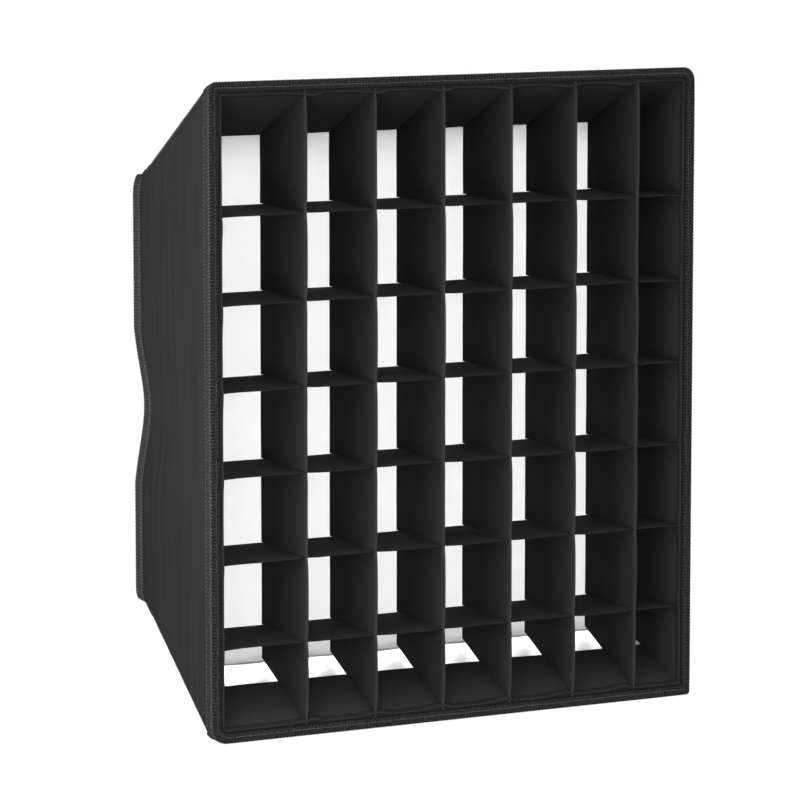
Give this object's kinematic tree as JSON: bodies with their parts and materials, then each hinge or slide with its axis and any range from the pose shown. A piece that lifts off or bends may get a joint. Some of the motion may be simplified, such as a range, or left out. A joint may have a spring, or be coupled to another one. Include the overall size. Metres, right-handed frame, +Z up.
{
  "type": "rectangular softbox with fabric grid",
  "caption": "Rectangular cloth softbox for a panel lamp: tapered stiffened walls, ribbed bindings, removable white diffuser and egg-crate grid, rear ears and straps.",
  "frame": {"origin": "centre of the lamp seat, the plane at the back of the tapered shell where the lamp's bezel rests", "axes": "+Z up, -Y out of the softbox's open front, +X to the right when facing +Y"},
  "size_m": [0.42, 0.2597, 0.5],
  "materials": {
    "shell_cloth": "black coated polyester, fine plain weave, slight sheen",
    "ribbed_tape": "black ribbed binding tape, stitched",
    "silver_lining": "silver coated reflective cloth",
    "stiffener_board": "twin-wall polypropylene board",
    "fibreglass_rod": "pultruded fibreglass",
    "seat_ring": "black polypropylene sheet, fine texture",
    "loop_tape": "black loop pile tape",
    "hook_tape": "black moulded hook tape",
    "grid_cloth": "matt black grid cloth, two layers",
    "diffuser_cloth": "white translucent diffusion cloth",
    "diffuser_hem_tape": "white elastic hem",
    "strap_webbing": "black woven webbing"
  },
  "bodies": {
    "shell": {"left_panel": "shell_cloth", "right_panel": "shell_cloth", "top_panel": "shell_cloth", "bottom_panel": "shell_cloth", "left_board": "stiffener_board", "right_board": "stiffener_board", "top_board": "stiffener_board", "bottom_board": "stiffener_board", "left_lining": "silver_lining", "right_lining": "silver_lining", "top_lining": "silver_lining", "bottom_lining": "silver_lining", "front_binding": "ribbed_tape", "rear_binding_left": "ribbed_tape", "rear_binding_right": "ribbed_tape", "rear_binding_top": "ribbed_tape", "rear_binding_bottom": "ribbed_tape", "hem_rods": "fibreglass_rod", "lamp_seat_ring": "seat_ring", "grid_loop_tape": "loop_tape", "diffuser_loop_tape": "loop_tape", "upper_left_strap_base": "strap_webbing", "upper_right_strap_base": "strap_webbing", "lower_left_strap_base": "strap_webbing", "lower_right_strap_base": "strap_webbing"},
    "grid": {"grid_border_left": "grid_cloth", "grid_border_right": "grid_cloth", "grid_border_top": "grid_cloth", "grid_border_bottom": "grid_cloth", "grid_front_hem": "grid_cloth", "grid_hook_tape": "hook_tape", "grid_vertical_divider_1": "grid_cloth", "grid_vertical_divider_2": "grid_cloth", "grid_vertical_divider_3": "grid_cloth", "grid_vertical_divider_4": "grid_cloth", "grid_vertical_divider_5": "grid_cloth", "grid_vertical_divider_6": "grid_cloth", "grid_level_divider_1": "grid_cloth", "grid_level_divider_2": "grid_cloth", "grid_level_divider_3": "grid_cloth", "grid_level_divider_4": "grid_cloth", "grid_level_divider_5": "grid_cloth", "grid_level_divider_6": "grid_cloth"},
    "diffuser": {"diffuser_sheet": "diffuser_cloth", "diffuser_hem": "diffuser_hem_tape", "diffuser_hook_tape": "hook_tape"},
    "strap_upper_left": {"upper_left_strap": "strap_webbing", "upper_left_strap_hook_patch": "hook_tape"},
    "strap_upper_right": {"upper_right_strap": "strap_webbing", "upper_right_strap_hook_patch": "hook_tape"},
    "strap_lower_left": {"lower_left_strap": "strap_webbing", "lower_left_strap_hook_patch": "hook_tape"},
    "strap_lower_right": {"lower_right_strap": "strap_webbing", "lower_right_strap_hook_patch": "hook_tape"}
  },
  "joints": [
    {"name": "grid_lift_off", "type": "slide", "parent": "shell", "child": "grid", "axis": [0, -1, 0], "range_m": [0, 0.24]},
    {"name": "diffuser_lift_off", "type": "slide", "parent": "shell", "child": "diffuser", "axis": [0, -1, 0], "range_m": [0, 0.12]},
    {"name": "upper_left_strap_fold", "type": "hinge", "parent": "shell", "child": "strap_upper_left", "pos_m": [-0.105, 0.0012, 0.1698], "axis": [1, 0, 0], "range_deg": [-90, 120]},
    {"name": "upper_right_strap_fold", "type": "hinge", "parent": "shell", "child": "strap_upper_right", "pos_m": [0.105, 0.0012, 0.1698], "axis": [1, 0, 0], "range_deg": [-90, 120]},
    {"name": "lower_left_strap_fold", "type": "hinge", "parent": "shell", "child": "strap_lower_left", "pos_m": [-0.105, 0.0012, -0.1698], "axis": [1, 0, 0], "range_deg": [-120, 90]},
    {"name": "lower_right_strap_fold", "type": "hinge", "parent": "shell", "child": "strap_lower_right", "pos_m": [0.105, 0.0012, -0.1698], "axis": [1, 0, 0], "range_deg": [-120, 90]}
  ],
  "couplings": [
    {"joint": "diffuser_lift_off", "follows": "grid_lift_off", "ratio": 0.5}
  ]
}
